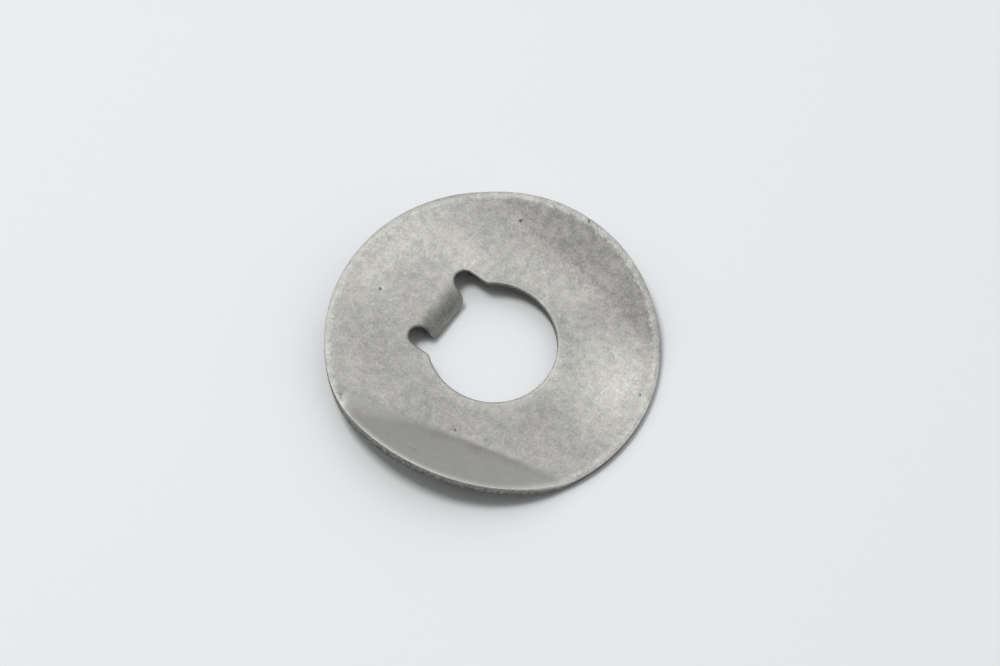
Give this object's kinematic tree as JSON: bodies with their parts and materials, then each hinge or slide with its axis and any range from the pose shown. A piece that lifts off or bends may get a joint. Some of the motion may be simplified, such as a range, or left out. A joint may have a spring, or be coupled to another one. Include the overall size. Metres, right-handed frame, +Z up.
{
  "type": "tab washer",
  "caption": "Used steel tab washer: punched disc with a keyed bore, a lock tab folded down beside relief slots, and rim flaps bent up to lock a nut.",
  "frame": {"origin": "middle of the bore, on the underside of the flat of the disc", "axes": "+Z up from the surface that the washer rests on; the tab lies towards -X, and the bore's axis leans 4.2 degrees from +Z towards +X, because the washer rests on its tab's tip and on the rim at +X"},
  "size_m": [0.0439, 0.0436, 0.0054],
  "materials": {
    "steel_sheet": "bare punched steel, dull matte grey, finely pitted, worn bright on its edges"
  },
  "bodies": {
    "root": {"tab_washer": "steel_sheet"}
  },
  "joints": []
}
